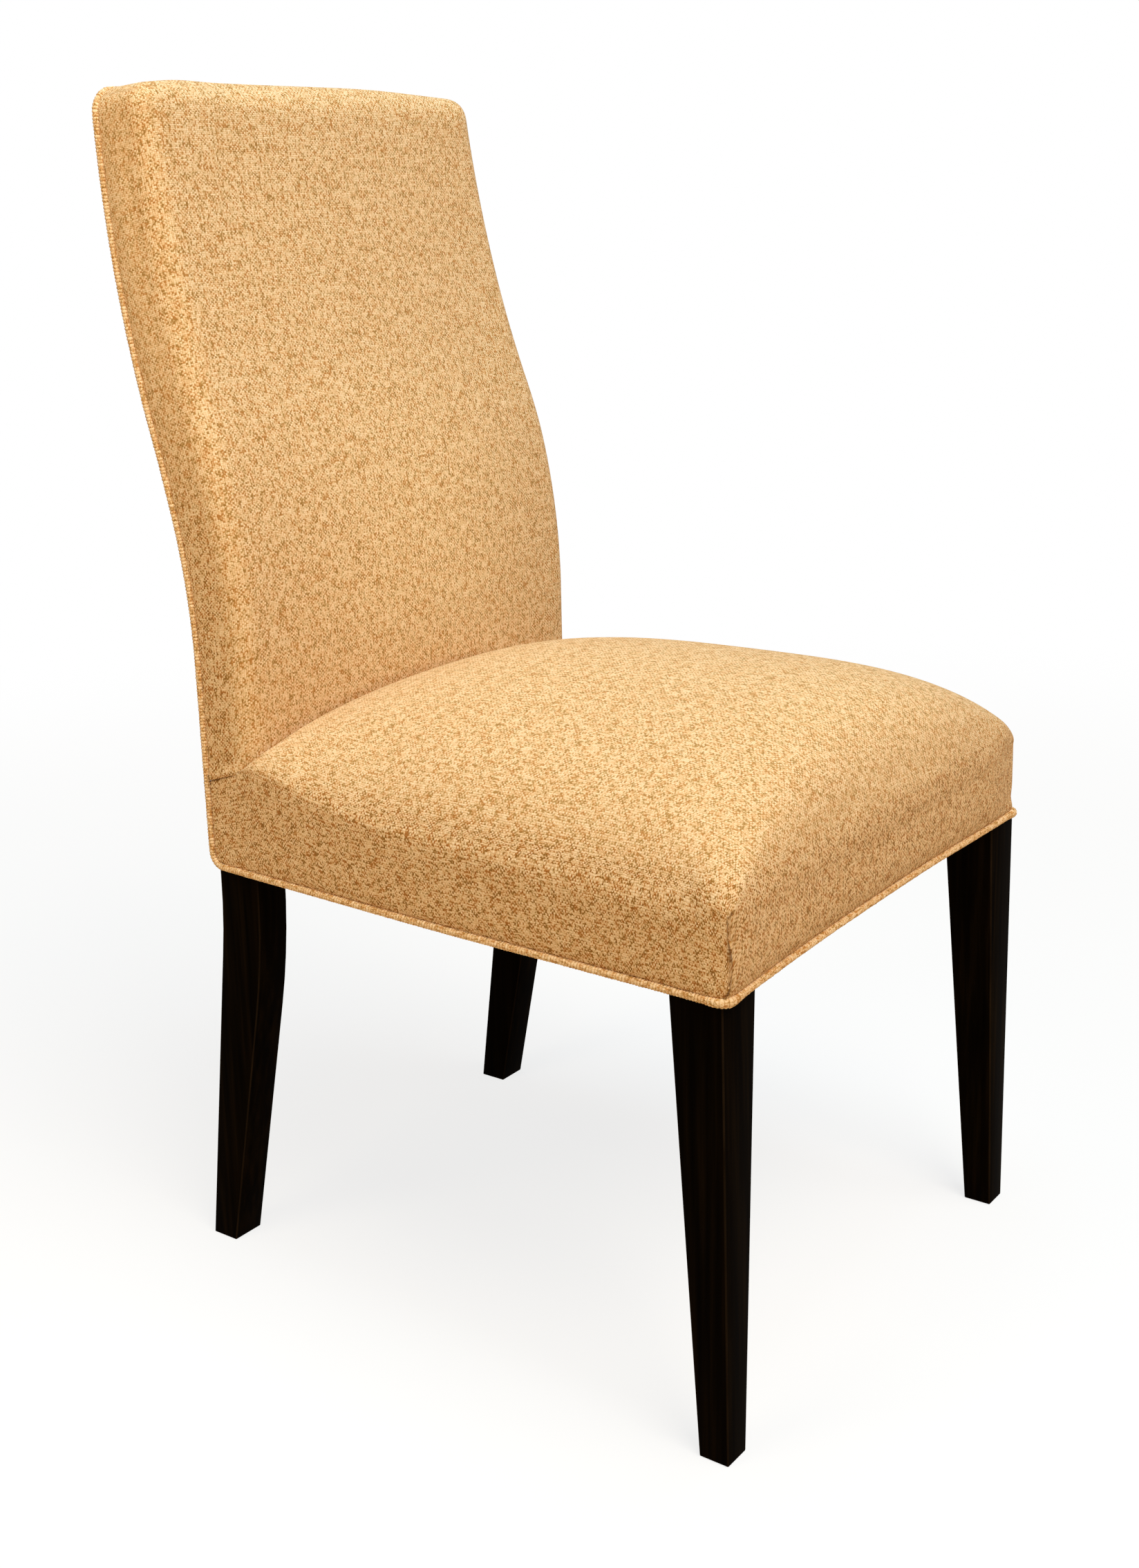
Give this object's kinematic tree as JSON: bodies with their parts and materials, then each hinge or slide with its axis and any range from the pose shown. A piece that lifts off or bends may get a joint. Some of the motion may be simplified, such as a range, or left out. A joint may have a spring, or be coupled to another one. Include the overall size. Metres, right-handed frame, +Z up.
{
  "type": "upholstered side chair",
  "caption": "High-back upholstered side chair: crowned tight seat and S-curved back in tan tweed with a welt, on dark tapered wooden legs with raked rear legs.",
  "frame": {"origin": "on the floor, under the middle of the chair's bounding box", "axes": "+Z up, -Y out of the front of the seat, +X to the right for someone who looks at the front of the chair"},
  "size_m": [0.5004, 0.6146, 0.9867],
  "materials": {
    "show_wood": "satin",
    "frame_wood": "sawn",
    "steel": "zinc plated",
    "jute": "coarse weave",
    "card": "matte",
    "foam": "open cell",
    "white_fibre": "fluffy",
    "tweed": "flecked weave",
    "black_cloth": "matte"
  },
  "bodies": {
    "root": {"front_leg_left": "show_wood", "front_leg_right": "show_wood", "back_post_left": "show_wood", "back_post_right": "show_wood", "front_rail": "frame_wood", "rear_rail": "frame_wood", "left_rail": "frame_wood", "right_rail": "frame_wood", "crest_rail": "frame_wood", "back_lower_rail": "frame_wood", "corner_block_front_left": "frame_wood", "corner_block_front_right": "frame_wood", "corner_block_rear_left": "frame_wood", "corner_block_rear_right": "frame_wood", "seat_frame_dowels": "frame_wood", "back_frame_dowels": "frame_wood", "corner_block_screws": "steel", "dust_cover_staples": "steel", "back_edge_strips": "steel", "seat_webbing_lengthwise": "jute", "seat_webbing_crosswise": "jute", "seat_burlap": "jute", "back_webbing": "jute", "back_burlap": "jute", "back_tack_strip": "card", "seat_foam": "foam", "back_foam": "foam", "rail_padding": "white_fibre", "seat_batting": "white_fibre", "back_batting": "white_fibre", "welt_filler_cord": "white_fibre", "seat_cover": "tweed", "inside_back_cover": "tweed", "outside_back_cover": "tweed", "welt": "tweed", "dust_cover": "black_cloth"}
  },
  "joints": []
}
